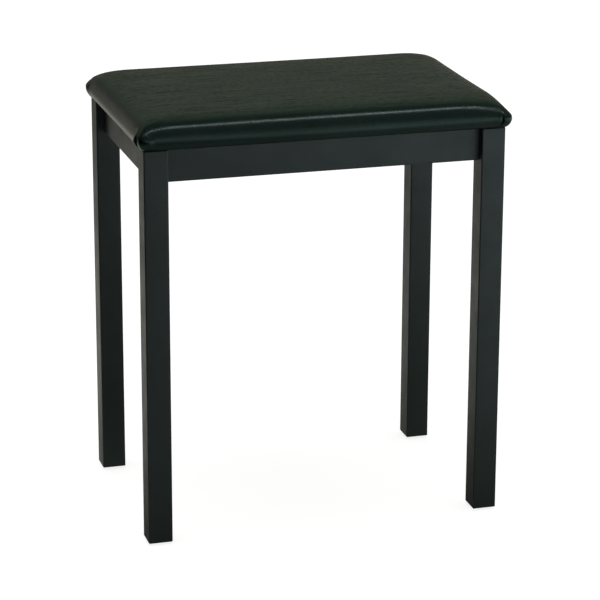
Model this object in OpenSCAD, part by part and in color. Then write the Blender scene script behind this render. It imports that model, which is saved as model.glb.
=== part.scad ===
// Piano stool with four square legs, apron rails and a padded leatherette seat.
// Millimetres, Z up, origin on the floor under the middle of the stool, front towards -Y.

/* [Frame] */
// Width over the outer faces of the legs
frame_w = 420; // [380:10:520]
// Depth over the outer faces of the legs
frame_d = 276; // [250:2:340]

/* [Legs] */
// Side of the square leg
leg_side = 28; // [28:1:34]
// Length of a leg without its glide
leg_l = 462; // [400:1:520]
// Radius of the long edges of a leg
leg_round = 1.6; // [0.8:0.2:3]
// Bevel round both ends of a leg
leg_bevel = 1; // [0.6:0.2:2]
// Flat planed on the inner edge of a leg, measured along each face
leg_flat = 5; // [3:1:7]

/* [Rails] */
// Height of the apron rails
rail_h = 39; // [36:1:60]
// Thickness of the rails
rail_t = 18; // [15:1:18]
// Distance of the rails behind the outer faces of the legs
rail_setback = 10; // [6:1:10]
// Radius of the lower edges of the rails
rail_round = 1.5; // [0.5:0.5:3]

/* [Corner plates] */
// Thickness of the pressed steel
plate_t = 2; // [1.5:0.5:2.5]
// Height of a plate
plate_h = 30; // [26:1:32]
// Distance from the corner of the rails to the bend of the plate, along a rail
plate_reach = 34; // [30:1:40]
// Length of the flange that lies on a rail
plate_flange = 20; // [18:1:26]
// Length of the tongue that hooks into the saw cut of a rail
plate_tongue = 5; // [3:1:8]
// Width of the stiffening lips along the top and bottom of the plate
plate_lip = 6; // [4:1:8]

/* [Bolts and nuts] */
// Diameter of the hanger bolts
bolt_d = 8; // [6:1:8]
// Depth of the wood end in the leg
bolt_in_leg = 26; // [20:1:28]
// How far a bolt stands out of its nut
bolt_proud = 4; // [2:1:8]
// Width of a nut across its flats
nut_af = 13; // [10:1:13]
// Height of a nut
nut_h = 6.5; // [4:0.5:6.5]
// Diameter of the washers
washer_d = 20; // [14:1:22]
// Thickness of the washers
washer_t = 1.6; // [1:0.2:2]

/* [Screws] */
// Shank of the plate screws
plate_screw_d = 3.5; // [3:0.5:4]
// Length of the plate screws under the head
plate_screw_l = 14; // [10:1:15]
// Shank of the seat screws
seat_screw_d = 4; // [3.5:0.5:5]
// Length of the seat screws under the head
seat_screw_l = 35; // [30:1:36]
// How far the seat screws reach into the board
seat_screw_bite = 9; // [7:1:10]

/* [Glides] */
// Diameter of the glides
glide_d = 15; // [12:1:18]
// Height of the glides
glide_h = 2.5; // [2:0.5:4]
// Shank of the glide nails
nail_d = 1.8; // [1.4:0.2:2.4]
// Length of the glide nails under the head
nail_l = 15; // [10:1:20]

/* [Seat board] */
// Thickness of the plywood board
board_t = 12; // [12:1:18]
// Radius of the corners of the board
board_corner = 5; // [3:1:8]

/* [Cushion] */
// Thickness of the foam in the middle of its crown
foam_mid = 21; // [18:1:40]
// Thickness of the foam at its upper edge
foam_edge = 12; // [9:1:16]
// How far the cushion swells past the frame
overhang = 5.5; // [3:0.5:9]
// How far the middle of each side is drawn in
draw_in = 2; // [0:0.5:4]
// Width of the shoulder between the upper edge and the crown
shoulder = 40; // [30:2:60]
// Radius of the corners, seen from above
pad_corner = 7; // [5:1:10]
// How far the upper edge drops at the corners
corner_drop = 8; // [0:0.5:8]
// Length of a side over which the corner drops
corner_reach = 50; // [24:1:70]

/* [Cover] */
// Thickness of the leatherette
cover_t = 1; // [0.6:0.1:1.4]
// Width of the hem that shows inside the rails, under the board
hem_show = 12; // [9:1:16]
// How far the folded ears stand out of the short sides
ear_out = 4.8; // [2:0.2:7]
// Length of an ear along the short side
ear_l = 15; // [10:1:20]

/* [Staples] */
// Width of a staple over its crown
staple_w = 12; // [8:1:14]
// Thickness of the staple wire
staple_wire = 0.7; // [0.5:0.1:1]
// Length of the legs of a staple
staple_l = 8; // [6:1:10]
// Staples along a long side
staples_long = 8; // [5:1:9]
// Staples along a short side
staples_short = 4; // [3:1:5]

/* [Hidden] */
$fn = 48;

// Colours
painted_wood = "#282b2c";
leatherette = "#32392f";
zinc_steel = "#a9adb0";
plywood = "#b58a5a";
foam_grey = "#8d8f8c";
glide_black = "#1c1c1c";

// Clearances and overrun
fit_gap = 0.1;
soft_gap = 0.3;
over = 1;

// Heights
frame_top = glide_h + leg_l;
bolt_z = frame_top - rail_h / 2;
board_z = frame_top + cover_t;
board_rise = cover_t + board_t;
edge_rise = board_rise + foam_edge + soft_gap + cover_t;
crown_rise = board_rise + foam_mid + soft_gap + cover_t;

// Inner faces of the rails and of the legs, measured from the middle of the stool
rail_in_x = frame_w / 2 - rail_setback - rail_t;
rail_in_y = frame_d / 2 - rail_setback - rail_t;
leg_step = leg_side - rail_setback - rail_t;

// Stations along the bolt axis, measured inwards from the corner of the rails
flat_at = (2 * leg_step - leg_flat) / sqrt(2);
plate_at = plate_reach / sqrt(2);
washer_at = plate_at + plate_t;
nut_at = washer_at + washer_t;
bolt_end_at = nut_at + nut_h + bolt_proud;

// Saw cuts for the tongues and screws in the flanges, measured from the corner of the rails
kerf_gap = 0.15;
tongue_at = plate_reach + plate_flange - plate_t;
flange_screw_at = plate_reach + 0.44 * plate_flange;
plate_screw_rise = plate_h / 4;

// Bolt and screw details
bolt_tip = bolt_d * 0.6;
bolt_hole_gap = 0.5;
bolt_hole_d = bolt_d + 2 * bolt_hole_gap;
bolt_neck_d = bolt_d * 0.8;
nut_bevel_angle = 30;
screw_head_share = 2;
screw_head_h_share = 0.6;
screw_tip_share = 1.4;
recess_w_share = 0.22;
recess_l_share = 1.1;
counterbore_gap = 1;
counterbore_d = seat_screw_d * screw_head_share + 2 * counterbore_gap;
seat_screw_z = board_z + seat_screw_bite - seat_screw_l;
seat_screw_spread_share = 0.3;

// Glide details
nail_head_d = nail_d * 2.6;
nail_head_h = nail_d * 0.5;
nail_z = glide_h * 0.6;
glide_bevel = glide_h * 0.24;

// Staples: centre line inside the rails, and the spread along each side
staple_edge_share = 0.46;
hem = rail_setback + rail_t + hem_show;
staple_in = hem - hem_show * staple_edge_share;
staple_flat = staple_wire * 1.5;
staple_span_share = 0.72;

// Signs of the corners, front left first
corners = [[-1, -1], [1, -1], [-1, 1], [1, 1]];

// Turns its children from the front left corner of the rails to another corner. There the
// rails lie along X and Y on the negative side, and the leg stands behind the origin.
module at_corner(c) {
    translate([c.x * rail_in_x, c.y * rail_in_y, 0])
        mirror([c.x > 0 ? 1 : 0, 0, 0])
            mirror([0, c.y > 0 ? 1 : 0, 0])
                children();
}

// Puts its children on the diagonal axis of a hanger bolt, Z pointing into the stool
module on_bolt_axis() {
    translate([0, 0, bolt_z])
        rotate([0, 0, 45])
            rotate([0, 90, 0])
                children();
}

// Square bar with true round edges
module rounded_bar(side, r, h) {
    linear_extrude(h) {
        square([side, side - 2 * r], center = true);
        square([side - 2 * r, side], center = true);
        for (x = [-1, 1], y = [-1, 1])
            translate([x * (side / 2 - r), y * (side / 2 - r)])
                circle(r);
    }
}

// Four wedges that bevel the end of a square bar at Z = 0
module end_bevel(side, cut) {
    for (a = [0:90:270])
        rotate([0, 0, a])
            translate([side / 2, side / 2 + over, 0])
                rotate([90, 0, 0])
                    linear_extrude(side + 2 * over)
                        polygon([[-cut, -over], [-cut, 0], [0, cut], [over, cut], [over, -over]]);
}

// Leg in its place, with the flat and pilot bore for its bolt and the hole for its nail
module leg(c) {
    color(painted_wood)
    difference() {
        translate([c.x * (frame_w - leg_side) / 2, c.y * (frame_d - leg_side) / 2, glide_h])
            difference() {
                rounded_bar(leg_side, leg_round, leg_l);
                end_bevel(leg_side, leg_bevel);
                translate([0, 0, leg_l])
                    mirror([0, 0, 1])
                        end_bevel(leg_side, leg_bevel);
                translate([0, 0, -over])
                    cylinder(d = nail_d + 2 * fit_gap, h = over + nail_z - glide_h + nail_l + fit_gap);
            }
        at_corner(c) {
            // Flat on the inner edge, as high as the rails
            translate([0, 0, frame_top - rail_h])
                rotate([0, 0, 45])
                    translate([flat_at, -leg_flat, 0])
                        cube([leg_side, 2 * leg_flat, rail_h + over]);
            on_bolt_axis()
                translate([0, 0, flat_at - bolt_in_leg - fit_gap])
                    cylinder(d = bolt_d + 2 * fit_gap, h = bolt_in_leg + over);
        }
    }
}

// Section of a rail: outer face at X = 0, lower edges rounded
module rail_section() {
    translate([0, rail_round])
        square([rail_t, rail_h - rail_round]);
    translate([rail_round, 0])
        square([rail_t - 2 * rail_round, rail_h]);
    for (x = [rail_round, rail_t - rail_round])
        translate([x, rail_round])
            circle(rail_round);
}

// Rail along X with its outer face towards -Y at Y = 0. half_in is the distance from its middle
// to the corner of the rails, and screw_places are the seat screws along it.
module rail_blank(half_in, screw_places) {
    difference() {
        rotate([90, 0, 90])
            linear_extrude(2 * (half_in - leg_step), center = true)
                rail_section();
        for (s = [-1, 1]) {
            // Saw cut for the tongue of the corner plate
            translate([s * (half_in - tongue_at - plate_t / 2), rail_t, rail_h / 2])
                cube([plate_t + 2 * kerf_gap, 2 * (plate_tongue + kerf_gap), rail_h + 2 * over],
                     center = true);
            // Pilot holes for the plate screws
            for (z = [-1, 1])
                translate([s * (half_in - flange_screw_at), rail_t + over,
                           rail_h / 2 + z * plate_screw_rise])
                    rotate([90, 0, 0])
                        cylinder(d = plate_screw_d + 2 * fit_gap,
                                 h = over + plate_screw_l - plate_t + fit_gap);
        }
        // Groove across each end, where a hanger bolt passes
        for (s = [-1, 1])
            translate([s * half_in, rail_t, rail_h / 2])
                rotate([0, 0, 90 + s * 45])
                    rotate([0, 90, 0])
                        cylinder(d = bolt_hole_d, h = 4 * bolt_d, center = true);
        // Counterbored holes for the seat screws
        for (x = screw_places)
            translate([x, rail_t / 2, 0]) {
                translate([0, 0, -over])
                    cylinder(d = seat_screw_d + 2 * fit_gap, h = rail_h + 2 * over);
                translate([0, 0, -over])
                    cylinder(d = counterbore_d, h = seat_screw_z - frame_top + rail_h + over);
            }
    }
}

// Seat screws along the two kinds of rail
long_screw_places = [for (s = [-1, 1]) s * seat_screw_spread_share * 2 * rail_in_x];
short_screw_places = [0];

module long_rail(turn) {
    color(painted_wood)
    rotate([0, 0, turn])
        translate([0, rail_setback - frame_d / 2, frame_top - rail_h])
            rail_blank(rail_in_x, long_screw_places);
}

module short_rail(turn) {
    color(painted_wood)
    rotate([0, 0, turn])
        translate([0, rail_setback - frame_w / 2, frame_top - rail_h])
            rail_blank(rail_in_y, short_screw_places);
}

// Strip of sheet steel in plan: straight stretches joined by bends, along the middle of the sheet
module bent_strip(points, t) {
    for (i = [0:len(points) - 2]) {
        run = points[i + 1] - points[i];
        translate(points[i])
            rotate(atan2(run.y, run.x))
                translate([0, -t / 2])
                    square([norm(run), t]);
    }
    for (i = [1:len(points) - 2])
        translate(points[i])
            circle(d = t);
}

// Middle line of a corner plate, from one tongue to the other
plate_mid = plate_t / 2;
plate_bend = plate_reach + plate_mid * (sqrt(2) - 1);
plate_half_line = [
    [tongue_at + plate_mid, -plate_tongue],
    [tongue_at + plate_mid, plate_mid],
    [plate_bend, plate_mid]
];
plate_line = concat(plate_half_line, [for (i = [2:-1:0]) [plate_half_line[i].y, plate_half_line[i].x]]);

module corner_plate(c) {
    color(zinc_steel)
    at_corner(c)
        difference() {
            union() {
                translate([0, 0, bolt_z - plate_h / 2])
                    linear_extrude(plate_h)
                        bent_strip(plate_line, plate_t);
                // Stiffening lips, bent inwards along the top and bottom of the diagonal
                for (z = [bolt_z - plate_h / 2, bolt_z + plate_h / 2 - plate_t])
                    translate([0, 0, z])
                        linear_extrude(plate_t)
                            polygon([
                                [plate_reach, plate_mid],
                                [plate_mid, plate_reach],
                                [plate_t, plate_reach + plate_lip],
                                [plate_lip, plate_reach + plate_lip],
                                [plate_reach + plate_lip, plate_lip],
                                [plate_reach + plate_lip, plate_t]
                            ]);
            }
            on_bolt_axis()
                translate([0, 0, plate_at - over])
                    cylinder(d = bolt_hole_d, h = plate_t + 2 * over);
            flange_screws()
                translate([0, 0, -over])
                    cylinder(d = plate_screw_d + 2 * fit_gap, h = plate_t + 2 * over);
        }
}

// Puts its children at the four screws of a plate, Z out of the rail, from the face of the rail
module flange_screws() {
    for (z = [-1, 1]) {
        translate([flange_screw_at, 0, bolt_z + z * plate_screw_rise])
            rotate([-90, 0, 0])
                children();
        translate([0, flange_screw_at, bolt_z + z * plate_screw_rise])
            rotate([0, 90, 0])
                children();
    }
}

// Hanger bolts, with a pointed wood end, a neck and a machine end
module hanger_bolts() {
    total = bolt_end_at - flat_at + bolt_in_leg;
    r = bolt_d / 2;
    wood_end = bolt_in_leg;
    neck_l = bolt_d - bolt_neck_d;
    color(zinc_steel)
    for (c = corners)
        at_corner(c)
            on_bolt_axis()
                translate([0, 0, flat_at - bolt_in_leg])
                    rotate_extrude()
                        polygon([
                            [0, 0],
                            [r, bolt_tip],
                            [r, wood_end],
                            [bolt_neck_d / 2, wood_end + neck_l / 2],
                            [bolt_neck_d / 2, wood_end + neck_l * 1.5],
                            [r, wood_end + neck_l * 2],
                            [r, total - neck_l / 2],
                            [bolt_neck_d / 2, total],
                            [0, total]
                        ]);
}

module bolt_washers() {
    color(zinc_steel)
    for (c = corners)
        at_corner(c)
            on_bolt_axis()
                translate([0, 0, washer_at])
                    difference() {
                        cylinder(d = washer_d, h = washer_t);
                        translate([0, 0, -over])
                            cylinder(d = bolt_d + 2 * fit_gap, h = washer_t + 2 * over);
                    }
}

// Hexagon nuts with bevelled corners
module bolt_nuts() {
    across_corners = nut_af / cos(30);
    bevel = (across_corners - nut_af) / 2 * tan(nut_bevel_angle);
    color(zinc_steel)
    for (c = corners)
        at_corner(c)
            on_bolt_axis()
                translate([0, 0, nut_at])
                    difference() {
                        intersection() {
                            cylinder(d = across_corners, h = nut_h, $fn = 6);
                            rotate_extrude()
                                polygon([
                                    [0, 0],
                                    [nut_af / 2, 0],
                                    [across_corners / 2, bevel],
                                    [across_corners / 2, nut_h - bevel],
                                    [nut_af / 2, nut_h],
                                    [0, nut_h]
                                ]);
                        }
                        translate([0, 0, -over])
                            cylinder(d = bolt_d + 2 * fit_gap, h = nut_h + 2 * over);
                    }
}

// Wood screw with a pan head and a cross recess, head up, seated at Z = 0
module wood_screw(d, l) {
    head_r = d * screw_head_share / 2;
    head_h = d * screw_head_h_share;
    recess = [head_r * recess_l_share, d * recess_w_share, head_h * 2];
    difference() {
        rotate_extrude()
            polygon([
                [0, -l],
                [d / 2, d * screw_tip_share - l],
                [d / 2, 0],
                [head_r, 0],
                [head_r, head_h / 2],
                [head_r * 0.7, head_h],
                [0, head_h]
            ]);
        for (a = [0, 90])
            rotate([0, 0, a])
                translate([0, 0, head_h * 1.4])
                    cube(recess, center = true);
    }
}

module plate_screws() {
    color(zinc_steel)
    for (c = corners)
        at_corner(c)
            flange_screws()
                translate([0, 0, plate_t])
                    wood_screw(plate_screw_d, plate_screw_l);
}

// Places of the seat screws in plan
seat_screw_x = frame_w / 2 - rail_setback - rail_t / 2;
seat_screw_y = frame_d / 2 - rail_setback - rail_t / 2;
seat_screw_places = concat(
    [for (s = [-1, 1], x = long_screw_places) [x, s * seat_screw_y]],
    [for (s = [-1, 1], y = short_screw_places) [s * seat_screw_x, y]]
);

module seat_screws() {
    color(zinc_steel)
    for (p = seat_screw_places)
        translate([p.x, p.y, seat_screw_z])
            mirror([0, 0, 1])
                wood_screw(seat_screw_d, seat_screw_l);
}

// Puts its children under the foot of each leg
module under_leg(c) {
    translate([c.x * (frame_w - leg_side) / 2, c.y * (frame_d - leg_side) / 2, 0])
        children();
}

// Glide with a bevelled rim and a countersink for its nail
module glide(c) {
    r = glide_d / 2;
    color(glide_black)
    under_leg(c)
        difference() {
            rotate_extrude()
                polygon([
                    [0, 0],
                    [r - glide_bevel, 0],
                    [r, glide_bevel],
                    [r, glide_h],
                    [0, glide_h]
                ]);
            translate([0, 0, -over])
                cylinder(d = nail_d + 2 * fit_gap, h = glide_h + 2 * over);
            translate([0, 0, -over])
                cylinder(d = nail_head_d + 2 * fit_gap, h = over + nail_z);
        }
}

module glide_nails() {
    color(zinc_steel)
    for (c = corners)
        under_leg(c)
            translate([0, 0, nail_z])
                rotate_extrude()
                    polygon([
                        [0, -nail_head_h],
                        [nail_head_d / 2, -nail_head_h],
                        [nail_head_d / 2, 0],
                        [nail_d / 2, 0],
                        [nail_d / 2, nail_l - nail_d],
                        [0, nail_l]
                    ]);
}

// Centres and turns of the staples: [x, y, turn of the crown]
function spread(n, half) = [for (i = [0:n - 1]) half * (2 * i / (n - 1) - 1)];
staple_x = frame_w / 2 - staple_in;
staple_y = frame_d / 2 - staple_in;
staple_places = concat(
    [for (s = [-1, 1], x = spread(staples_long, staple_x * staple_span_share)) [x, s * staple_y, 0]],
    [for (s = [-1, 1], y = spread(staples_short, staple_y * staple_span_share)) [s * staple_x, y, 90]]
);

module cover_staples() {
    color(zinc_steel)
    for (p = staple_places)
        translate([p.x, p.y, frame_top])
            rotate([0, 0, p.z])
                difference() {
                    translate([-staple_w / 2, -staple_flat / 2, -staple_wire])
                        cube([staple_w, staple_flat, staple_l]);
                    translate([staple_wire - staple_w / 2, -staple_flat, 0])
                        cube([staple_w - 2 * staple_wire, 2 * staple_flat, staple_l + over]);
                }
}

// Plywood board with pilot holes for the seat screws and the legs of the staples
module seat_board() {
    inset = 2 * (cover_t + soft_gap);
    board = [frame_w - inset, frame_d - inset];
    color(plywood)
    difference() {
        translate([0, 0, board_z])
            linear_extrude(board_t) {
                square([board.x, board.y - 2 * board_corner], center = true);
                square([board.x - 2 * board_corner, board.y], center = true);
                for (c = corners)
                    translate([c.x * (board.x / 2 - board_corner), c.y * (board.y / 2 - board_corner)])
                        circle(board_corner);
            }
        for (p = seat_screw_places)
            translate([p.x, p.y, board_z - over])
                cylinder(d = seat_screw_d + 2 * fit_gap, h = over + seat_screw_bite + fit_gap);
        for (p = staple_places)
            translate([p.x, p.y, board_z])
                rotate([0, 0, p.z])
                    for (s = [-1, 1])
                        translate([s * (staple_w - staple_wire) / 2, 0, 0])
                            cube([staple_wire + 2 * fit_gap, staple_flat + 2 * fit_gap,
                                  2 * (staple_l + fit_gap)], center = true);
    }
}

// Profile of the cushion, from the inner edge of the hem round to the crown. Each row is a ring
// of points: [outwards of the frame, above the frame, share of the draw-in, share of the ears].
foam_side = edge_rise - board_rise;
crown_side = crown_rise - edge_rise;
tuck = 1.4 * cover_t;
profile = [
    [-hem, 0, 0, 0],
    [-tuck, 0, 0, 0],
    [0, tuck, 0, 0.95],
    [0.5 * overhang, 0.6 * board_rise, 0.4, 1],
    [overhang, board_rise + 0.2 * foam_side, 1, 0.6],
    [0.9 * overhang, board_rise + 0.6 * foam_side, 1, 0.25],
    [0.4 * overhang, edge_rise, 1, 0],
    [-0.1 * shoulder, edge_rise + 0.36 * crown_side, 0.8, 0],
    [-0.35 * shoulder, edge_rise + 0.6 * crown_side, 0.4, 0],
    [-shoulder, edge_rise + 0.86 * crown_side, 0, 0],
    [-2.2 * shoulder, edge_rise + 0.97 * crown_side, 0, 0]
];

// Stations along a quarter of a ring, from the middle of a short side to the middle of a long one
side_shares = [0, 0.5];
ear_stop_shares = [1, 0.66, 0.33, 0];
ear_swell_shares = [0, 0.8, 1, 0.95];
corner_angles = [28, 58, 90];
corner_swell_shares = [0.5, 0, 0];
front_shares = [0.88, 0.6, 0.3, 0];

// How fast the corners grow rounder over the top, and the most that corners and ears may take
corner_growth_share = 0.8;
corner_most_share = 0.8;
ear_most_share = 0.45;

// Unit direction across the profile at ring i, pointing out of the cushion
function profile_normal(i) =
    let (a = profile[max(i - 1, 0)], b = profile[min(i + 1, len(profile) - 1)],
         along = [b.x - a.x, b.y - a.y])
    [along.y, -along.x] / norm(along);

// Row i of the profile moved inwards by depth
function inner_row(i, depth) =
    let (n = profile_normal(i))
    [profile[i].x - depth * n.x, profile[i].y - depth * n.y, profile[i][2], profile[i][3]];

// Quarter of a ring in the corner where X and Y are positive
function quarter(row) =
    let (hx = frame_w / 2 + row.x, hy = frame_d / 2 + row.x,
         over_top = row.y > board_rise ? max(0, -row.x - tuck) : 0,
         r = min(pad_corner + corner_growth_share * over_top, corner_most_share * hy),
         ear = min(ear_l, ear_most_share * (hy - r)))
    concat(
        [for (s = side_shares) [hx, s * (hy - r), 0]],
        [for (k = [0:3]) [hx, hy - r - ear * ear_stop_shares[k], ear_swell_shares[k]]],
        [for (k = [0:2])
            [hx - r + r * cos(corner_angles[k]), hy - r + r * sin(corner_angles[k]),
             corner_swell_shares[k]]],
        [for (s = front_shares) [s * (hx - r), hy, 0]]
    );

// A station with its draw-in, ear and corner drop: [x, y, z] above the frame
function formed(p, row) =
    let (hx = frame_w / 2 + row.x, hy = frame_d / 2 + row.x,
         pull = draw_in * row[2],
         x = p.x - (p.x > hx - pad_corner ? pull * (1 - pow(p.y / hy, 2)) : 0) + ear_out * row[3] * p.z,
         y = p.y - (p.y > hy - pad_corner ? pull * (1 - pow(p.x / hx, 2)) : 0),
         from_corner = norm([frame_w / 2 + overhang - p.x, frame_d / 2 + overhang - p.y]),
         near = max(0, 1 - from_corner / corner_reach),
         foam_share = min(1, max(0, row.y - board_rise) / foam_side))
    [x, y, row.y - corner_drop * near * near * foam_share];

// Whole ring, counter-clockwise from above
function ring(row) =
    let (q = [for (p = quarter(row)) formed(p, row)], n = len(q) - 1)
    concat(
        [for (i = [0:n - 1]) [q[i].x, q[i].y, frame_top + q[i].z]],
        [for (i = [n:-1:1]) [-q[i].x, q[i].y, frame_top + q[i].z]],
        [for (i = [0:n - 1]) [-q[i].x, -q[i].y, frame_top + q[i].z]],
        [for (i = [n:-1:1]) [q[i].x, -q[i].y, frame_top + q[i].z]]
    );

// Faces between ring a and ring b of n points each, a below b for a face that looks outwards
function band(a, b, n) = [
    for (j = [0:n - 1])
        let (k = (j + 1) % n)
        each [[a * n + j, b * n + j, b * n + k], [a * n + j, b * n + k, a * n + k]]
];

// Fan from the last ring to the point at index tip
function fan(a, tip, n) = [for (j = [0:n - 1]) [a * n + j, tip, a * n + (j + 1) % n]];
function turned(faces) = [for (f = faces) [f[0], f[2], f[1]]];
function flat(lists) = [for (l = lists) each l];

// Leatherette skin: outer rings up to the crown, inner rings back down to the hem
module cover_skin() {
    outer = [for (row = profile) ring(row)];
    inner = concat(
        [ring([-hem, cover_t, 0, 0]), ring([-cover_t, cover_t, 0, 0.1])],
        [for (i = [3, 4, 6, 7, 9, 10]) ring(inner_row(i, cover_t))]
    );
    n = len(outer[0]);
    rings = concat(outer, inner);
    top = len(outer) - 1;
    first = len(outer);
    last = len(rings) - 1;
    tip = len(rings) * n;
    points = concat(flat(rings), [
        [0, 0, frame_top + crown_rise],
        [0, 0, frame_top + crown_rise - cover_t]
    ]);
    polyhedron(points, concat(
        flat([for (i = [0:top - 1]) band(i, i + 1, n)]),
        fan(top, tip, n),
        turned(flat([for (i = [first:last - 1]) band(i, i + 1, n)])),
        turned(fan(last, tip + 1, n)),
        turned(band(0, first, n))
    ));
}

module seat_cover() {
    hole_d = seat_screw_d + 2 * fit_gap;
    color(leatherette)
    difference() {
        cover_skin();
        for (p = seat_screw_places)
            translate([p.x, p.y, frame_top - over])
                cylinder(d = hole_d / cos(30), h = cover_t + 2 * over, $fn = 6);
        for (p = staple_places)
            translate([p.x, p.y, frame_top + cover_t / 2])
                rotate([0, 0, p.z])
                    cube([staple_w + 2 * fit_gap, staple_flat + 2 * fit_gap, cover_t + 2 * over],
                         center = true);
    }
}

// Foam block on the board, clear of the inside of the cover
module foam_pad() {
    depth = cover_t + soft_gap;
    side = [for (row = profile) [row.y, row.x]];
    foot_out = lookup(board_rise, [side[3], side[4]]) - depth - soft_gap;
    rings = concat(
        [ring([foot_out, board_rise, 0.8, 0.8])],
        [for (i = [4, 6, 7, 9, 10]) ring(inner_row(i, depth))]
    );
    n = len(rings[0]);
    top = len(rings) - 1;
    tip = len(rings) * n;
    points = concat(flat(rings), [[0, 0, frame_top + crown_rise - depth], [0, 0, board_z + board_t]]);
    color(foam_grey)
    polyhedron(points, concat(
        flat([for (i = [0:top - 1]) band(i, i + 1, n)]),
        fan(top, tip, n),
        turned(fan(0, tip + 1, n))
    ));
}

leg(corners[0]);  // front_left_leg
leg(corners[1]);  // front_right_leg
leg(corners[2]);  // rear_left_leg
leg(corners[3]);  // rear_right_leg
long_rail(0);  // front_rail
long_rail(180);  // rear_rail
short_rail(-90);  // left_rail
short_rail(90);  // right_rail
corner_plate(corners[0]);  // front_left_plate
corner_plate(corners[1]);  // front_right_plate
corner_plate(corners[2]);  // rear_left_plate
corner_plate(corners[3]);  // rear_right_plate
hanger_bolts();
bolt_washers();
bolt_nuts();
plate_screws();
seat_screws();
glide(corners[0]);  // front_left_glide
glide(corners[1]);  // front_right_glide
glide(corners[2]);  // rear_left_glide
glide(corners[3]);  // rear_right_glide
glide_nails();
seat_board();
foam_pad();
seat_cover();
cover_staples();
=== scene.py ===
"""Piano stool: finish of every surface, the upholstered cushion with its folded corners, and the studio.

The stool stands in metres. Lengths of the cushion are in millimetres.
"""

import math

import bpy
import numpy as np
from mathutils import Matrix, Vector


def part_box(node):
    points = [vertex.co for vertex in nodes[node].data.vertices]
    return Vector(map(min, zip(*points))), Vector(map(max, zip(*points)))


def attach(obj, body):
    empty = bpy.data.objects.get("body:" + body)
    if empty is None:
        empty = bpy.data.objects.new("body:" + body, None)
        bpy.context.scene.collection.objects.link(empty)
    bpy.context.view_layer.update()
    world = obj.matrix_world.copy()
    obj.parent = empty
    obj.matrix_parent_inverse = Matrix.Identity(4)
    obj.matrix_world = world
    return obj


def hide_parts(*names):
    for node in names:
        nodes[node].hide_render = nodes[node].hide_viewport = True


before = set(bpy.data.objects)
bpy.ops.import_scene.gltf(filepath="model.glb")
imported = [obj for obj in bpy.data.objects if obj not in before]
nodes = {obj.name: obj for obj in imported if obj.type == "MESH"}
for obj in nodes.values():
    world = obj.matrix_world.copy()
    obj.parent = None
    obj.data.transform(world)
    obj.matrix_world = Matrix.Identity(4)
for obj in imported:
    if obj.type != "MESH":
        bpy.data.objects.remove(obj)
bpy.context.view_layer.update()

MM = 0.001

# Sizes from the frame


def box_mm(node):
    """Lowest and highest corner of a CAD node in millimetres, to a tenth."""
    return [[round(value / MM, 1) for value in corner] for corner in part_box(node)]


frame_low = box_mm("front_left_leg")[0]
frame_high = box_mm("rear_right_leg")[1]
board_low, board_high = box_mm("seat_board")
foam_high = box_mm("foam_pad")[1]
cover_high = box_mm("seat_cover")[1]

FRAME_W = frame_high[0] - frame_low[0]
FRAME_D = frame_high[1] - frame_low[1]
FRAME_TOP = frame_high[2]
BOARD_LOW = board_low[2]
BOARD_T = board_high[2] - BOARD_LOW
COVER_T = BOARD_LOW - FRAME_TOP
FOAM_MID = foam_high[2] - board_high[2]
# Gap between a soft piece and what carries it
SOFT_GAP = round(cover_high[2] - foam_high[2] - COVER_T, 1)


def add_object(name, data):
    """New object in the scene."""
    made = bpy.data.objects.new(name, data)
    bpy.context.scene.collection.objects.link(made)
    return made


# Camera

CAMERA_PLACE = (-0.8235, -2.85308, 1.18387)
CAMERA_AZIMUTH = math.radians(16.2573)
CAMERA_DOWN = math.radians(17.721)
CAMERA_ROLL = math.radians(0.2148)
CAMERA_LENS, CAMERA_SENSOR = 158.0, 36.0
CAMERA_REACH = 200.0


def add_camera():
    """Camera at the photograph's angle, looking along an azimuth from +Y and down."""
    forward = Vector((
        math.sin(CAMERA_AZIMUTH) * math.cos(CAMERA_DOWN),
        math.cos(CAMERA_AZIMUTH) * math.cos(CAMERA_DOWN),
        -math.sin(CAMERA_DOWN),
    ))
    level = Vector((math.cos(CAMERA_AZIMUTH), -math.sin(CAMERA_AZIMUTH), 0))
    upright = level.cross(forward)
    right = level * math.cos(CAMERA_ROLL) + upright * math.sin(CAMERA_ROLL)
    up = upright * math.cos(CAMERA_ROLL) - level * math.sin(CAMERA_ROLL)
    data = bpy.data.cameras.new("camera")
    data.lens = CAMERA_LENS
    data.sensor_width = CAMERA_SENSOR
    data.clip_end = CAMERA_REACH
    camera = add_object("camera", data)
    turned = Matrix((right, up, -forward)).transposed().to_4x4()
    camera.matrix_world = Matrix.Translation(CAMERA_PLACE) @ turned
    bpy.context.scene.camera = camera


add_camera()

# Materials

# Linear colours. A pair is the darker and the lighter tone that a surface varies between
PAINT_TONES = (0.0042, 0.0070, 0.0070), (0.0062, 0.0098, 0.0100)
PAINT_WORN = (0.045, 0.040, 0.034)
PAINT_SHEEN = (0.74, 0.94, 1.0, 1)
VINYL_TONES = (0.0026, 0.0076, 0.0058), (0.0040, 0.0106, 0.0082)
VINYL_CREASE_SHADE = (0.0025, 0.0035, 0.003)
VINYL_SCORE = (0.0008, 0.0024, 0.0018)
# Painted shade in the creases of the leatherette's grain
VINYL_DULL = (0.0100, 0.0105, 0.0080)
VINYL_SHEEN = (0.61, 1.0, 1.0, 1)
ZINC_TONES = (0.50, 0.51, 0.53), (0.63, 0.63, 0.61)
ZINC_STAIN = (0.34, 0.34, 0.33)
BIRCH_TONES = (0.50, 0.34, 0.19), (0.62, 0.46, 0.28)
BIRCH_PORE = (0.30, 0.18, 0.09)
BIRCH_DARK_PLY = (0.32, 0.19, 0.10)
FOAM_TONES = (0.17, 0.175, 0.17), (0.33, 0.335, 0.32)
FOAM_AGED = (0.28, 0.27, 0.22)
GLIDE_TONES = (0.014, 0.014, 0.0145), (0.05, 0.05, 0.05)
WHITE = (1, 1, 1, 1)

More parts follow.
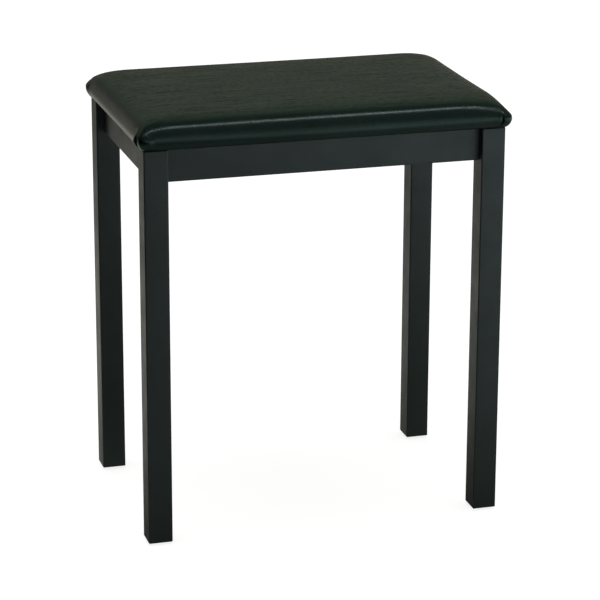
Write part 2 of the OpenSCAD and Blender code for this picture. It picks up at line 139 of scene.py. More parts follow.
# Depths of the bumps, in metres
PAINT_GRAIN_DEEP, PAINT_PEEL_DEEP = 0.06 * MM, 0.05 * MM
VINYL_GRAIN_DEEP, VINYL_FINE_DEEP = 0.05 * MM, 0.012 * MM
ZINC_FINE_DEEP, ZINC_PATCH_DEEP = 0.03 * MM, 0.04 * MM
BIRCH_DEEP = 0.08 * MM
FOAM_DEEP = 0.4 * MM
GLIDE_DEEP = 0.05 * MM

# Radius of the rounded edges on which the paint wears
WORN_EDGE = 1.6 * MM
# Share of a coarse noise in the place of the leatherette's grain, which bends it
GRAIN_BEND = 0.0009
# Share of the long scores among all scores of the leatherette
LONG_SCORES = 0.52
# Plies of the board
PLIES = 5


class Nodes:
    """The shader nodes of one tree, made and linked by short calls."""

    def __init__(self, tree):
        self.tree = tree
        self.tree.nodes.clear()

    def add(self, kind, settings=None, **inputs):
        """New node. Settings are its properties, and inputs its sockets, by name or as in0, in1."""
        node = self.tree.nodes.new("ShaderNode" + kind)
        for key, value in (settings or {}).items():
            setattr(node, key, value)
        for key, value in inputs.items():
            numbered = key[:2] == "in" and key[2:].isdigit()
            socket = node.inputs[int(key[2:]) if numbered else key.replace("_", " ")]
            if isinstance(value, bpy.types.NodeSocket):
                self.tree.links.new(value, socket)
            else:
                socket.default_value = value
        return node

    def math(self, operation, a, b=0.0, clamp=False):
        """Result of an operation on two values."""
        return self.add("Math", {"operation": operation, "use_clamp": clamp}, in0=a, in1=b).outputs[0]

    def remap(self, value, low, high, to_low=0.0, to_high=1.0):
        """Value between two marks carried over to between two others, and held there."""
        marks = {"in1": low, "in2": high, "in3": to_low, "in4": to_high}
        return self.add("MapRange", {"clamp": True}, in0=value, **marks).outputs[0]

    def blend(self, share, a, b):
        """Colour a at share 0 and b at share 1."""
        a, b = [value if isinstance(value, bpy.types.NodeSocket) else (*value, 1) for value in (a, b)]
        return self.add("Mix", {"data_type": "RGBA"}, in0=share, in6=a, in7=b).outputs[2]

    def ramp(self, value, stops):
        """Colour by a value, through stops of value, level and tint."""
        node = self.add("ValToRGB", in0=value)
        marks = node.color_ramp.elements
        while len(marks) < len(stops):
            marks.new(0.5)
        for mark, (place, level, tint) in zip(marks, stops):
            mark.position = place
            mark.color = (*[level * part for part in tint], 1)
        return node.outputs[0]

    def place(self, stretch=(1, 1, 1)):
        """Position on the object in metres, stretched."""
        coords = self.add("TexCoord").outputs["Object"]
        return self.add("Mapping", Vector=coords, Scale=stretch).outputs[0]

    def upward(self, normal):
        """How much one of the surface's normals points up, from -1 to 1."""
        return self.add("SeparateXYZ", Vector=self.add("NewGeometry").outputs[normal]).outputs["Z"]

    def noise(self, where, scale, detail, rough, distort=0.0):
        """Noise from 0 to 1 with about that many features to a metre."""
        shape = {"Scale": scale, "Detail": detail, "Roughness": rough, "Distortion": distort}
        return self.add("TexNoise", Vector=where, **shape).outputs["Fac"]

    def cells(self, where, scale, feature, **shape):
        """Distance in a pattern of cells with about that many to a metre."""
        node = self.add("TexVoronoi", {"feature": feature}, Vector=where, Scale=scale, **shape)
        return node.outputs["Distance"]

    def bump(self, height, depth, strength, **under):
        """Normal of a surface with a height pattern, over another bump's normal where one is given."""
        return self.add("Bump", Height=height, Distance=depth, Strength=strength, **under).outputs[0]


class Shader(Nodes):
    """A material and its nodes."""

    def __init__(self, name):
        self.material = bpy.data.materials.new(name)
        self.material.use_nodes = True
        super().__init__(self.material.node_tree)

    def finished(self, shader):
        """The material, with a shader as its surface."""
        self.add("OutputMaterial", Surface=shader)
        return self.material

    def surface(self, **inputs):
        """The material, with a principled surface."""
        return self.finished(self.add("BsdfPrincipled", **inputs).outputs[0])


def along(axis, grain, across):
    """Stretch of a pattern along one axis: features to a metre along it and across it."""
    return tuple(grain if i == axis else across for i in range(3))


def painted_wood(name, axis):
    """Satin black paint over wood whose grain runs along an axis, worn a little on its edges."""
    s = Shader(name)
    where = s.place()
    pores = s.noise(s.place(along(axis, 12, 420)), 1.0, 3, 0.6)
    fibres = s.noise(s.place(along(axis, 4, 130)), 1.0, 2, 0.5)
    peel = s.noise(where, 650, 2, 0.5)
    cloud = s.noise(where, 9, 3, 0.55)
    colour = s.blend(s.remap(cloud, 0.3, 0.7), *PAINT_TONES)
    rounded = s.add("Bevel", {"samples": 6}, Radius=WORN_EDGE).outputs[0]
    flat = s.add("NewGeometry").outputs["Normal"]
    apart = s.add("VectorMath", {"operation": "DISTANCE"}, in0=rounded, in1=flat).outputs["Value"]
    patchy = s.remap(s.noise(where, 60, 4, 0.7), 0.5, 0.72)
    wear = s.math("MULTIPLY", s.remap(apart, 0.15, 0.6), patchy, clamp=True)
    colour = s.blend(s.math("MULTIPLY", wear, 0.4), colour, PAINT_WORN)
    rough = s.remap(s.noise(where, 35, 3, 0.6), 0.3, 0.7, 0.43, 0.53)
    rough = s.math("ADD", rough, s.math("MULTIPLY", wear, 0.15))
    height = s.math("MULTIPLY", s.remap(pores, 0.25, 0.55), 0.5)
    height = s.math("ADD", height, s.math("MULTIPLY", fibres, 0.35))
    normal = s.bump(height, PAINT_GRAIN_DEEP, 0.6)
    normal = s.bump(peel, PAINT_PEEL_DEEP, 0.5, Normal=normal)
    return s.surface(Base_Color=colour, Roughness=rough, IOR=1.5, Specular_Tint=PAINT_SHEEN, Normal=normal)


def leatherette():
    """Black vinyl with a fine creased grain with painted shade in its creases, and fine scores along the
    seat where it faces up.
    """
    s = Shader("leatherette")
    where = s.place()
    coarse = s.add("TexNoise", Vector=where, Scale=420.0, Detail=2.0).outputs["Color"]
    bent = s.add("Mix", {"data_type": "VECTOR"}, in0=GRAIN_BEND, in4=where, in5=coarse).outputs[1]
    pebbles = s.cells(bent, 950, "SMOOTH_F1", Smoothness=0.35)
    creases = s.cells(bent, 520, "DISTANCE_TO_EDGE")
    fine = s.noise(where, 2600, 3, 0.6)
    streaks = s.noise(s.place((26, 240, 240)), 1.0, 3, 0.6)
    broad = s.noise(s.place((12, 70, 70)), 1.0, 3, 0.6)
    cloud = s.noise(where, 14, 4, 0.55)
    dull = s.remap(s.noise(s.place((18, 60, 60)), 1.0, 3, 0.6), 0.5, 0.75, 0.0, 0.5)
    short = s.math("MULTIPLY", s.noise(s.place((170, 370, 370)), 1.0, 2, 0.5), 1 - LONG_SCORES)
    long = s.math("MULTIPLY", s.noise(s.place((16, 370, 370)), 1.0, 2, 0.5), LONG_SCORES)
    worn = s.remap(s.upward("Normal"), 0.85, 0.99)
    scores = s.math("SUBTRACT", s.math("ADD", short, long), 0.5)
    scores = s.math("ADD", 0.5, s.math("MULTIPLY", scores, worn))
    colour = s.blend(s.remap(cloud, 0.3, 0.7), *VINYL_TONES)
    # Painted shade: the grain's creases are coloured darker toward their bottoms
    colour = s.blend(s.remap(creases, 0.0, 0.06, 0.45, 0.0), colour, VINYL_CREASE_SHADE)
    colour = s.blend(s.remap(scores, 0.35, 0.65, 0.3, 0.1), colour, VINYL_SCORE)
    colour = s.blend(dull, colour, VINYL_DULL)
    rough = s.remap(streaks, 0.3, 0.7, 0.22, 0.27)
    rough = s.math("ADD", rough, s.remap(scores, 0.36, 0.64, 0.13, -0.13))
    level = s.add("Mix", in0=worn, in2=0.5, in3=s.remap(scores, 0.39, 0.64, 0.25, 0.75)).outputs[0]
    level = s.math("MULTIPLY", level, s.remap(broad, 0.3, 0.7, 0.9, 1.1))
    height = s.math("SUBTRACT", s.remap(creases, 0.0, 0.16), s.math("MULTIPLY", pebbles, 0.4))
    height = s.math("ADD", height, s.math("MULTIPLY", streaks, 0.6))
    normal = s.bump(height, VINYL_GRAIN_DEEP, 0.6)
    normal = s.bump(fine, VINYL_FINE_DEEP, 0.7, Normal=normal)
    return s.surface(
        Base_Color=colour, Roughness=rough, IOR=1.33, Specular_IOR_Level=level,
        Specular_Tint=VINYL_SHEEN, Normal=normal,
    )


def zinc_steel():
    """Bright zinc plating with faint patches, dull stains and a fine unevenness."""
    s = Shader("zinc_steel")
    where = s.place()
    patches = s.noise(where, 120, 4, 0.6)
    uneven = s.noise(where, 300, 2, 0.5)
    stain = s.remap(s.noise(where, 45, 5, 0.65), 0.52, 0.75)
    colour = s.blend(s.remap(patches, 0.3, 0.7), *ZINC_TONES)
    colour = s.blend(s.math("MULTIPLY", stain, 0.5), colour, ZINC_STAIN)
    rough = s.math("ADD", s.remap(patches, 0.3, 0.7, 0.24, 0.38), s.math("MULTIPLY", stain, 0.15))
    normal = s.bump(uneven, ZINC_FINE_DEEP, 0.5)
    normal = s.bump(patches, ZINC_PATCH_DEEP, 0.3, Normal=normal)
    return s.surface(Base_Color=colour, Metallic=1.0, Roughness=rough, Normal=normal)


def plywood():
    """Birch plywood: long grain on the faces and dark and light plies on the edges."""
    s = Shader("plywood")
    where = s.place()
    rings = s.noise(s.place((3.0, 30, 30)), 1.0, 5, 0.6, 1.4)
    pores = s.noise(s.place((60, 1500, 900)), 1.0, 2, 0.6)
    colour = s.blend(s.remap(rings, 0.35, 0.65), *BIRCH_TONES)
    colour = s.blend(s.remap(pores, 0.58, 0.75, 0.0, 0.45), colour, BIRCH_PORE)
    height = s.add("SeparateXYZ", Vector=where).outputs["Z"]
    plies = s.math("MULTIPLY", s.math("SUBTRACT", height, BOARD_LOW * MM), PLIES / (BOARD_T * MM))
    ply = s.math("PINGPONG", plies, 1.0)
    side = s.math("LESS_THAN", s.math("ABSOLUTE", s.upward("True Normal")), 0.5)
    band = s.math("MULTIPLY", s.remap(ply, 0.45, 0.55, 0.0, 0.6), side)
    colour = s.blend(band, colour, BIRCH_DARK_PLY)
    rough = s.remap(pores, 0.3, 0.7, 0.62, 0.78)
    normal = s.bump(s.math("SUBTRACT", rings, s.remap(pores, 0.5, 0.8)), BIRCH_DEEP, 0.6)
    return s.surface(Base_Color=colour, Roughness=rough, IOR=1.45, Normal=normal)


def foam():
    """Grey polyurethane foam with open cells."""
    s = Shader("foam")
    where = s.place()
    cell = s.cells(where, 900, "F1")
    colour = s.blend(s.remap(cell, 0.1, 0.8), *FOAM_TONES)
    colour = s.blend(s.remap(s.noise(where, 25, 3, 0.5), 0.3, 0.7, 0.0, 0.3), colour, FOAM_AGED)
    normal = s.bump(cell, FOAM_DEEP, 0.8)
    rough = s.remap(cell, 0.0, 0.8, 0.98, 0.86)
    return s.surface(Base_Color=colour, Roughness=rough, IOR=1.4, Normal=normal)


def glide_plastic():
    """Matt black moulded plastic with fine scratches."""
    s = Shader("glide_plastic")
    spark = s.noise(s.place(), 2400, 3, 0.6)
    scratch = s.noise(s.place((90, 1400, 200)), 1.0, 3, 0.6, 0.6)
    colour = s.blend(s.remap(scratch, 0.55, 0.75, 0.0, 0.7), *GLIDE_TONES)
    rough = s.remap(spark, 0.3, 0.7, 0.50, 0.66)
    normal = s.bump(spark, GLIDE_DEEP, 0.6)
    return s.surface(Base_Color=colour, Roughness=rough, IOR=1.47, Normal=normal)


LEG = painted_wood("painted_leg", 2)
RAIL_X = painted_wood("painted_long_rail", 0)
RAIL_Y = painted_wood("painted_short_rail", 1)
LEATHERETTE = leatherette()
ZINC = zinc_steel()
# Material by the name of a node or by the end of it. All other nodes are zinc
FINISH = {
    "leg": LEG,
    "front_rail": RAIL_X,
    "rear_rail": RAIL_X,
    "left_rail": RAIL_Y,
    "right_rail": RAIL_Y,
    "glide": glide_plastic(),
    "seat_board": plywood(),
}

# Finish of the rigid pieces

# Points of a CAD mesh closer than this are one, and edges sharper than this angle stay sharp
WELD_GAP = 0.01 * MM
SHARP_EDGE = math.radians(32)


def soften(obj):
    """Smooth shading over the round faces of a piece, and sharp edges elsewhere."""
    for polygon in obj.data.polygons:
        polygon.use_smooth = True
    if "custom_normal" in obj.data.attributes:
        obj.data.attributes.remove(obj.data.attributes["custom_normal"])
    weld = obj.modifiers.new("weld", "WELD")
    weld.merge_threshold = WELD_GAP
    split = obj.modifiers.new("split", "EDGE_SPLIT")
    split.split_angle = SHARP_EDGE


for name, obj in nodes.items():
    finish = FINISH.get(name)
    if finish is None:
        finish = next((m for key, m in FINISH.items() if name.endswith("_" + key)), ZINC)
    obj.data.materials.clear()
    obj.data.materials.append(finish)
    soften(obj)

# Cushion

# Thickness of the foam at its edge
FOAM_EDGE = 12.0
# Heights of the cover above the frame, at the board's top, the upper edge and the crown
BOARD_RISE = COVER_T + BOARD_T
EDGE_RISE = BOARD_RISE + FOAM_EDGE + SOFT_GAP + COVER_T
CROWN_RISE = BOARD_RISE + FOAM_MID + SOFT_GAP + COVER_T
FOAM_SIDE, CROWN_SIDE = EDGE_RISE - BOARD_RISE, CROWN_RISE - EDGE_RISE
# How far the sides stand out past the frame and draw in again between the corners
OVERHANG, DRAW_IN = 5.5, 2.0
# Length of the slope from the edge to the crown
SHOULDER = 40.0
# Radius of the corners, and length of the ear beside each
PAD_CORNER, EAR_L = 7.0, 19.0
# How far in from the face of the frame the cover ends, and how far in it turns up to its side
HEM, TUCK = 40.0, 1.4
# Steps from the cut of the hem to the turn, and from there to the side
HEM_STEPS, TUCK_STEPS = 8, 3

# Widest place of the side, above the frame
WIDEST = 0.885 * BOARD_RISE
# Up the side of the cover: height above the frame, lean of the surface there in degrees from
# upright, share of draw-in, and steps to the next row
SIDE = [
    (0.2 * TUCK, -58, 0, 4),
    (0.15 * BOARD_RISE, -38, 0.2, 4),
    (0.38 * BOARD_RISE, -22, 0.5, 4),
    (0.65 * BOARD_RISE, -10, 0.75, 4),
    (WIDEST, 0, 0.9, 5),
    (BOARD_RISE + 0.23 * FOAM_SIDE, 9, 1, 4),
    (BOARD_RISE + 0.53 * FOAM_SIDE, 18, 1, 4),
    (BOARD_RISE + 0.79 * FOAM_SIDE, 29, 1, 4),
    (BOARD_RISE + 0.94 * FOAM_SIDE, 38, 1, 3),
    (EDGE_RISE + 0.08 * CROWN_SIDE, 48, 1, 3),
    (EDGE_RISE + 0.22 * CROWN_SIDE, 58, 0.95, 3),
    (EDGE_RISE + 0.37 * CROWN_SIDE, 68, 0.85, 4),
    (EDGE_RISE + 0.52 * CROWN_SIDE, 75.5, 0.65, 5),
    (EDGE_RISE + 0.67 * CROWN_SIDE, 80, 0.45, 5),
    (EDGE_RISE + 0.78 * CROWN_SIDE, 84, 0.25, 5),
    (EDGE_RISE + 0.88 * CROWN_SIDE, 87, 0.1, 5),
]

# Half of the width of the face that closes the crown
CROWN_FACE = 1.5
# Over the top of the cover: outwards of the frame, height above it, and steps to the next row
TOP = [
    (-1.5 * SHOULDER, EDGE_RISE + 0.965 * CROWN_SIDE, 5),
    (-2.2 * SHOULDER, EDGE_RISE + 0.99 * CROWN_SIDE, 4),
    (-0.86 * FRAME_D / 2, CROWN_RISE - 0.02, 2),
    (CROWN_FACE - FRAME_D / 2, CROWN_RISE, 0),
]


def side_rows():
    """Rows of the cover from hem to crown: outwards of the frame, height, draw-in, fold and steps."""
    widest = [row[0] for row in SIDE].index(WIDEST)
    outs = [0.0]
    for low, high in zip(SIDE, SIDE[1:]):
        lean = math.radians((low[1] + high[1]) / 2)
        outs.append(outs[-1] - math.tan(lean) * (high[0] - low[0]))
    outs = [OVERHANG + out - outs[widest] for out in outs]
    return [
        (-HEM, 0, 0, 0, HEM_STEPS),
        (-TUCK, 0, 0, 1, TUCK_STEPS),
        *[(out, row[0], row[2], 1, row[3]) for out, row in zip(outs, SIDE)],
        *[(out, rise, 0, 0, steps) for out, rise, steps in TOP],
    ]


PROFILE = side_rows()

# Up a corner: height above the frame, share of the swelling and share of the crease
EAR = [
    (0.0, 0.40, 0.85), (2.0, 0.62, 0.95), (5.0, 0.85, 1.0), (8.5, 1.0, 1.0), (12.0, 1.03, 0.9),
    (15.0, 0.98, 0.6), (18.0, 0.80, 0.33), (20.5, 0.58, 0.16), (23.5, 0.32, 0.06), (25.5, 0.16, 0.0),
    (27.5, 0.05, 0.0), (30.0, 0.0, 0.0), (34.0, 0.0, 0.0),
]

# Ear, crease, corner roll and valley, seen from above: distance along the plain outline from the
# start of its corner arc, then the point of the cover across the short side and across the long
# side from where the two sides would meet, first only swollen, then creased as well
FOLD = [
    (-18.0, 0.0, -25.0, 0.0, -25.0),
    (-15.5, 0.6, -22.4, 0.4, -22.0),
    (-13.5, 1.4, -20.2, 1.6, -18.8),
    (-11.5, 2.3, -18.2, 3.1, -15.8),
    (-10.0, 2.9, -16.6, 4.0, -13.4),
    (-9.0, 3.2, -15.6, 4.35, -11.7),
    (-8.3, 3.4, -14.9, 4.3, -10.6),
    (-7.8, 3.5, -14.4, 3.95, -9.9),
    (-7.3, 3.5, -13.9, 3.35, -9.6),
    (-6.8, 3.5, -13.4, 2.75, -9.9),
    (-6.3, 3.5, -12.9, 2.35, -10.6),
    (-5.6, 3.5, -12.2, 1.95, -11.8),
    (-4.8, 3.4, -11.4, 1.45, -13.2),
    (-4.1, 3.4, -10.8, 0.95, -14.3),
    (-3.6, 3.3, -10.3, 0.55, -14.8),
    (-3.1, 3.2, -9.8, 0.2, -14.3),
    (-2.5, 3.1, -9.3, 0.35, -13.0),
    (-1.8, 3.0, -8.6, 0.7, -11.4),
    (-0.9, 2.8, -7.8, 1.05, -9.5),
    (0.0, 2.6, -7.0, 1.25, -7.6),
    (1.2, 2.2, -5.8, 1.3, -5.7),
    (2.6, 1.6, -4.4, 1.1, -4.0),
    (4.0, 0.7, -3.0, 0.5, -2.4),
    (5.5, -0.6, -1.6, -0.6, -0.9),
    (7.0, -2.1, -0.6, -2.0, -0.2),
    (8.5, -3.7, 0.0, -3.6, 0.2),
    (10.0, -5.3, 0.3, -5.2, 0.4),
    (12.0, -7.4, 0.4, -7.4, 0.4),
    (15.0, -10.7, 0.3, -10.7, 0.3),
    (18.5, -14.5, 0.1, -14.5, 0.1),
    (22.5, -18.5, 0.0, -18.5, 0.0),
    (26.0, -22.0, 0.0, -22.0, 0.0),
]
# The crease leans back along the short side near the upper edge: height above the frame and lean
LEAN = [(13.0, -0.8), (20.0, 0.5), (27.0, 3.0)]

# Least strength of the crease where the swelling fades
CREASE_LEAST = 0.35
# Distance along the outline where the lean of the crease ends, and the length that it fades over
LEAN_END, LEAN_FADE = 6.0, 8.0

# Stations round a quarter of a ring: on the short side, the ear, the corner arc, the valley beside
# the corner on the long side, and the rest of the long side
SIDE_STEPS, EAR_STEPS, ARC_STEPS, VALLEY_STEPS, FRONT_STEPS = 14, 52, 22, 46, 24
# Length of the valley, and the most of a side that ear and valley take, as shares
VALLEY_L = 30.0
EAR_MOST, VALLEY_MOST = 0.45, 0.3
# How the stations of the valley and of the rest of the long side spread out, as powers
VALLEY_SPREAD, FRONT_SPREAD = 1.15, 0.9
# Growth of the corner arc with the distance in over the top, and its most as a share of the side
ARC_GROWTH, ARC_MOST = 0.55, 0.8
# Steps of a smooth curve from one row of a table to the next
FINE_STEPS = 4

# Roll of slack beside a corner on its long side: distance from the start of the arc and offset
NEAR_ROLL = [
    (0, 0), (6.0, 0.2), (10.0, 0.7), (13.0, 0.9), (14.6, 0.4), (15.4, -0.5), (15.9, -0.8), (16.4, -0.6),
    (17.4, 0.05), (19.0, 0.2), (21.5, 0.08), (25.0, 0), (32.0, 0),
]
FAR_ROLL = [
    (0, -0.5), (4.0, -0.5), (7.0, -0.35), (9.0, 0.05), (11.0, 0.5), (13.0, 0.85), (14.8, 1.0), (16.5, 0.85),
    (18.5, 0.4), (20.8, 0.05), (23.0, 0), (34.0, 0),
]
# How much of a corner's sharpness shows at a height above the frame
SHARP = [
    (BOARD_RISE, 0.0), (BOARD_RISE + 0.6 * FOAM_SIDE, 1.0),
    (EDGE_RISE + 1.5, 1.0), (EDGE_RISE + 5.0, 0.0),
]
# Each corner, counter-clockwise from the rear right: size of its fold, how much the fold is drawn
# in under the edge, how much lower it sits, drop of the corner, reach of the drop, its roll, and
# its sharpness at the upper edge
CORNERS = [
    (0.6, 0.8, 3.5, 8.0, 50.0, NEAR_ROLL, 0.0),
    (0.6, 0.8, 3.5, 8.0, 50.0, NEAR_ROLL, 0.0),
    (1.05, 0.6, 0.0, 4.8, 38.0, FAR_ROLL, 0.68),
    (1.0, 0.0, 3.7, 8.0, 68.0, NEAR_ROLL, 0.0),
]


def spline(rows, counts):
    """Smooth curve through rows, with a number of steps from each row to the next."""
    rows = np.array(rows, float)
    reach = np.linalg.norm(np.diff(rows[:, :2], axis=0), axis=1) ** 0.5
    knots = np.concatenate([[0], np.cumsum(np.maximum(reach, 1e-6))])
    slopes = np.zeros_like(rows)
    steps = np.diff(knots)[:, None]
    chords = np.diff(rows, axis=0) / steps
    slopes[1:-1] = (chords[:-1] * steps[1:] + chords[1:] * steps[:-1]) / (steps[1:] + steps[:-1])
    slopes[0], slopes[-1] = chords[0], chords[-1]
    made = []
    for i, count in enumerate(counts):
        u = np.arange(count)[:, None] / count
        h = steps[i]
        made.append(
            (2 * u**3 - 3 * u**2 + 1) * rows[i] + (u**3 - 2 * u**2 + u) * h * slopes[i]
            + (3 * u**2 - 2 * u**3) * rows[i + 1] + (u**3 - u**2) * h * slopes[i + 1]
        )
    return np.concatenate([*made, rows[-1:]])


def plain_corner(a):
    """Plain outline at distances a: points from where the two sides would meet."""
    r = PAD_CORNER
    turn = np.clip(a / r, 0, math.pi / 2)
    x = -r + r * np.cos(turn) - np.maximum(a - r * math.pi / 2, 0)
    y = -r + r * np.sin(turn) + np.minimum(a, 0)
    return x, y


def fold_at(a):
    """Offsets of the fold table at distances a, smoothly: swollen x, y and creased x, y."""
    table = np.array(FOLD)
    x, y = plain_corner(table[:, 0])
    table[:, 1:] -= np.stack([x, y, x, y], axis=1)
    fine = spline(table, [FINE_STEPS] * (len(table) - 1))
    return [np.interp(a, fine[:, 0], fine[:, i], left=0, right=0) for i in range(1, 5)]


def quarter(out, above_board, sharp):
    """Plain quarter of a ring: points x, y, and their distance from the start of the corner arc."""
    hx, hy = FRAME_W / 2 + out, FRAME_D / 2 + out
    over_top = max(0.0, -out - TUCK) if above_board else 0.0
    r = min(PAD_CORNER + ARC_GROWTH * over_top, ARC_MOST * hy) * (1 - sharp)
    ear = min(EAR_L, EAR_MOST * (hy - r))
    valley = min(VALLEY_L, VALLEY_MOST * (hx - r))
    turn = np.arange(ARC_STEPS) / ARC_STEPS * math.pi / 2
    y_side = np.linspace(0, hy - r - ear, SIDE_STEPS, endpoint=False)
    y_ear = hy - r - ear + ear * np.arange(EAR_STEPS) / EAR_STEPS
    x_valley = hx - r - valley * (np.arange(VALLEY_STEPS) / VALLEY_STEPS) ** VALLEY_SPREAD
    x_front = (hx - r - valley) * (1 - np.arange(FRONT_STEPS + 1) / FRONT_STEPS) ** FRONT_SPREAD
    x_side = np.full(SIDE_STEPS + EAR_STEPS, hx)
    y_front = np.full(VALLEY_STEPS + FRONT_STEPS + 1, hy)
    x = np.concatenate([x_side, hx - r + r * np.cos(turn), x_valley, x_front])
    y = np.concatenate([y_side, y_ear, hy - r + r * np.sin(turn), y_front])
    arc_end = PAD_CORNER * math.pi / 2
    at = np.concatenate([
        y_side - (hy - r), y_ear - (hy - r), PAD_CORNER * turn,
        arc_end + hx - r - x_valley, arc_end + hx - r - x_front,
    ])
    return x, y, at


def curve(table, x):
    """Smooth curve through the rows of a table, read at x: one result for each further column."""
    fine = spline(table, [FINE_STEPS] * (len(table) - 1))
    return [np.interp(x, fine[:, 0], fine[:, i]) for i in range(1, fine.shape[1])]


def formed_quarter(row, corner, folded):
    """Quarter of a ring with its draw-in, share of the fold and corner drop: rows of x, y, z."""
    out, rise, draw, fold = row
    size, tucked, lower, drop, reach, roll, sharp = corner
    ear, crease = curve(EAR, rise + lower)
    ear *= 1 - tucked * max(0.0, 1 - rise / WIDEST)
    size *= folded * fold
    hx, hy = FRAME_W / 2 + out, FRAME_D / 2 + out
    x, y, at = quarter(out, rise > BOARD_RISE, sharp * np.interp(rise, *zip(*SHARP)))
    from_corner = np.hypot(FRAME_W / 2 + OVERHANG - x, FRAME_D / 2 + OVERHANG - y)
    near = np.maximum(0, 1 - from_corner / reach)
    foam_share = min(1.0, max(0.0, rise - BOARD_RISE) / FOAM_SIDE)
    lean = np.interp(rise, *zip(*LEAN)) * np.clip((LEAN_END - at) / LEAN_FADE, 0, 1)
    swell_x, swell_y, crease_x, crease_y = fold_at(at + lean)
    depth = max(ear, CREASE_LEAST)
    pull = DRAW_IN * draw
    px = x - np.where(x > hx - PAD_CORNER, pull * (1 - (y / hy) ** 2), 0)
    py = y - np.where(y > hy - PAD_CORNER, pull * (1 - (x / hx) ** 2), 0)
    px = px + size * (ear * swell_x + crease * (crease_x - swell_x) * depth)
    py = py + size * (ear * swell_y + crease * (crease_y - swell_y) * depth)
    py = py + size * ear * curve(roll, at)[0]
    pz = rise - drop * near**2 * foam_share
    return np.stack([px, py, pz], axis=1)


def whole_ring(row, folded=1.0):
    """Whole ring of a row, counter-clockwise from above, each quarter with its own corner."""
    q = [formed_quarter(row, corner, folded) for corner in CORNERS]
    q = [part * (*flip, 1) for part, flip in zip(q, [(1, 1), (-1, 1), (-1, -1), (1, -1)])]
    return np.concatenate([q[0][:-1], q[1][:0:-1], q[2][:-1], q[3][:0:-1]])


# Waves in a smooth noise, and their shortest and longest as shares of its size
WAVES, WAVE_RANGE = 9, (0.7, 1.6)


def smooth_noise(points, size, seed):
    """Smooth value at each point, mostly between -1 and 1, from waves of about a size."""
    chance = np.random.default_rng(seed)
    total = np.zeros(len(points))
    for _ in range(WAVES):
        way = chance.normal(size=3)
        way *= 2 * math.pi / (size * chance.uniform(*WAVE_RANGE)) / np.linalg.norm(way)
        total += np.sin(points @ way + chance.uniform(0, 2 * math.pi))
    return total / (WAVES / 2)


def grid_normals(rings):
    """Unit normals of a grid of rings, pointing out of the cushion."""
    across = np.gradient(rings, axis=0)
    around = np.roll(rings, -1, axis=1) - np.roll(rings, 1, axis=1)
    n = np.cross(around, across)
    return n / np.maximum(np.linalg.norm(n, axis=2, keepdims=True), 1e-9)


def from_middle(ring):
    """Level unit directions of points away from the middle of the stool."""
    return ring[..., :2] / np.linalg.norm(ring[..., :2], axis=-1, keepdims=True)


def band_faces(first, second, count):
    """Faces between two rings of a count of points, by the numbers of the rings."""
    j = np.arange(count)
    k = (j + 1) % count
    return np.stack([first * count + j, first * count + k, second * count + k, second * count + j], axis=1)


def ring_face(ring, count):
    """Face that closes a ring of a count of points."""
    return [ring * count + j for j in range(count)]


def cushion_object(name, rings, faces, material):
    """Mesh object from rings in millimetres above the frame."""
    points = (rings + (0, 0, FRAME_TOP)).reshape(-1, 3) * MM
    mesh = bpy.data.meshes.new(name)
    mesh.from_pydata([tuple(point) for point in points], [], faces)
    mesh.validate()
    mesh.shade_smooth()
    mesh.materials.append(material)
    return add_object(name, mesh)


# Unevenness of the stretched cover: size of its waves, their height and their seed
UNEVEN = [(80, 0.12, 3), (26, 0.025, 5)]
# How much of the unevenness shows at a height above the frame
UNEVEN_SHARE = [(2, 0), (10, 0.25), (EDGE_RISE, 0.25), (CROWN_RISE, 1)]
# Waves of the cut of the hem: their size, height and seed, and how much further in it lies
HEM_WAVE, HEM_IN = (45, 1.2, 8), 0.8
# Rows of the cover's outer face that the inner one repeats: at the hem, then from a row on in steps
INNER_HEM, INNER_FROM, INNER_STEP = [0, 4, 8, 11, 13], 15, 3


def cover_rings():
    """Outer rings of the cover as one grid, with the small unevenness of stretched leatherette."""
    rows = spline([row[:4] for row in PROFILE], [row[4] for row in PROFILE[:-1]])
    rows[:, 1] = np.maximum(rows[:, 1], 0)
    rings = np.stack([whole_ring(row) for row in rows])
    flat = rings.reshape(-1, 3)
    uneven = sum(smooth_noise(flat, size, seed) * height for size, height, seed in UNEVEN)
    share = np.interp(rows[:, 1], *zip(*UNEVEN_SHARE))
    rings += grid_normals(rings) * (uneven.reshape(rings.shape[:2]) * share[:, None])[:, :, None]
    size, height, seed = HEM_WAVE
    inwards = smooth_noise(rings[0], size, seed) * height + HEM_IN
    fade = (1 - np.arange(HEM_STEPS + 1) / HEM_STEPS)[:, None, None]
    rings[: HEM_STEPS + 1, :, :2] -= fade * (from_middle(rings[0]) * inwards[:, None])[None]
    return rings


def cushion_cover():
    """Leatherette skin: a closed sheet 1 mm thick from its hem round to the crown."""
    outer = cover_rings()
    last = len(outer) - 1
    keep = INNER_HEM + list(range(INNER_FROM, last, INNER_STEP)) + [last]
    inner = (outer - COVER_T * grid_normals(outer))[keep]
    rings = np.concatenate([outer, inner])
    start, end, n = len(outer), len(rings) - 1, outer.shape[1]
    bands = [band_faces(i, i + 1, n) for i in range(last)]
    bands += [band_faces(i, i + 1, n)[:, ::-1] for i in range(start, end)]
    bands.append(band_faces(0, start, n)[:, ::-1])
    faces = [face for band in bands for face in band.tolist()]
    faces += [ring_face(last, n), ring_face(end, n)[::-1]]
    return cushion_object("cushion_cover", rings, faces, LEATHERETTE)


# Foot of the foam: how far it is drawn in and stands clear of the board
FOOT_IN, FOOT_GAP = 0.6, 0.05
# How much the cover squeezes the foam at its corners, and the reach of that
SQUEEZE, SQUEEZE_REACH = 1.3, 30.0


